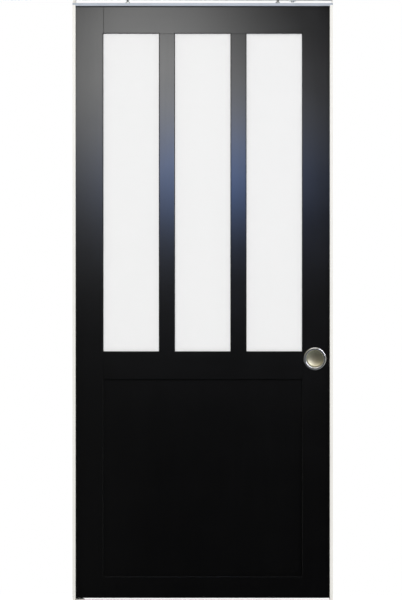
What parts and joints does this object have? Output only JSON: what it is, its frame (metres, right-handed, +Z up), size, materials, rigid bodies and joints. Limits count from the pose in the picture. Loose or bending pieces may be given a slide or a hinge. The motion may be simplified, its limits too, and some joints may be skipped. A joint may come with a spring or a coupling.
{
  "type": "sliding door",
  "caption": "Black sliding glazed door with tall satin panes over a flat lower panel and a round flush pull, hung from a head track inside a slim pale frame.",
  "frame": {"origin": "on the finished floor under the middle of the track, in the middle of the wall's thickness", "axes": "+X along the wall from the pocket towards the strike jamb, +Y through the wall from the front to the rear, +Z up"},
  "size_m": [1.7346, 0.1, 2.168],
  "materials": {
    "black_paint": "satin black paint on timber",
    "bare_timber": "bare beech",
    "satin_glass": "acid etched white glass",
    "pull_nickel": "satin nickel",
    "cream_coating": "matt cream powder coating",
    "anodised_aluminium": "natural anodised",
    "zinc_steel": "bright zinc plate",
    "black_nylon": "moulded",
    "white_nylon": "turned",
    "pile": "woven pile",
    "black_rubber": "extruded"
  },
  "bodies": {
    "frame": {"head_track": "anodised_aluminium", "track_end_cap": "black_nylon", "track_end_screws": "zinc_steel", "track_stop_closed": "zinc_steel", "track_stop_open": "zinc_steel", "stop_buffer_closed": "black_rubber", "stop_buffer_open": "black_rubber", "stop_clamp_plates": "zinc_steel", "stop_clamp_screws": "zinc_steel", "head_cover_front": "anodised_aluminium", "head_cover_rear": "anodised_aluminium", "head_seal_front": "pile", "head_seal_rear": "pile", "strike_jamb": "cream_coating", "strike_seal": "black_rubber", "pocket_jamb_front": "cream_coating", "pocket_jamb_rear": "cream_coating", "pocket_seal_front": "pile", "pocket_seal_rear": "pile", "jamb_tab_screws": "zinc_steel", "corner_cleats": "black_nylon", "cover_screws": "zinc_steel", "floor_guide": "black_nylon"},
    "leaf": {"left_stile": "black_paint", "right_stile": "black_paint", "top_rail": "black_paint", "lock_rail": "black_paint", "bottom_rail": "black_paint", "left_muntin": "black_paint", "right_muntin": "black_paint", "lower_panel": "black_paint", "left_glass": "satin_glass", "middle_glass": "satin_glass", "right_glass": "satin_glass", "left_beads": "black_paint", "middle_beads": "black_paint", "right_beads": "black_paint", "glazing_tapes": "black_rubber", "joint_dowels": "bare_timber", "muntin_dowels": "bare_timber", "front_pull": "pull_nickel", "rear_pull": "pull_nickel", "guide_channel": "anodised_aluminium", "left_hanger_plate": "zinc_steel", "right_hanger_plate": "zinc_steel", "hanger_screws": "zinc_steel", "left_hanger_bolt": "zinc_steel", "right_hanger_bolt": "zinc_steel", "hanger_nuts": "zinc_steel", "left_trolley": "black_nylon", "right_trolley": "black_nylon", "trolley_axles": "zinc_steel"},
    "left_outer_wheels": {"left_outer_wheels": "white_nylon"},
    "left_inner_wheels": {"left_inner_wheels": "white_nylon"},
    "right_inner_wheels": {"right_inner_wheels": "white_nylon"},
    "right_outer_wheels": {"right_outer_wheels": "white_nylon"}
  },
  "joints": [
    {"name": "leaf_slide", "type": "slide", "parent": "frame", "child": "leaf", "axis": [-1, 0, 0], "range_m": [0, 0.796]},
    {"name": "left_outer_wheels_spin", "type": "hinge", "parent": "leaf", "child": "left_outer_wheels", "pos_m": [0.11875, 0, 2.14225], "axis": [0, -1, 0], "continuous": true},
    {"name": "left_inner_wheels_spin", "type": "hinge", "parent": "leaf", "child": "left_inner_wheels", "pos_m": [0.16275, 0, 2.14225], "axis": [0, -1, 0], "continuous": true},
    {"name": "right_inner_wheels_spin", "type": "hinge", "parent": "leaf", "child": "right_inner_wheels", "pos_m": [0.65075, 0, 2.14225], "axis": [0, -1, 0], "continuous": true},
    {"name": "right_outer_wheels_spin", "type": "hinge", "parent": "leaf", "child": "right_outer_wheels", "pos_m": [0.69475, 0, 2.14225], "axis": [0, -1, 0], "continuous": true}
  ],
  "couplings": [
    {"joint": "left_outer_wheels_spin", "follows": "leaf_slide", "rad_per_m": 90.909},
    {"joint": "left_inner_wheels_spin", "follows": "leaf_slide", "rad_per_m": 90.909},
    {"joint": "right_inner_wheels_spin", "follows": "leaf_slide", "rad_per_m": 90.909},
    {"joint": "right_outer_wheels_spin", "follows": "leaf_slide", "rad_per_m": 90.909}
  ]
}
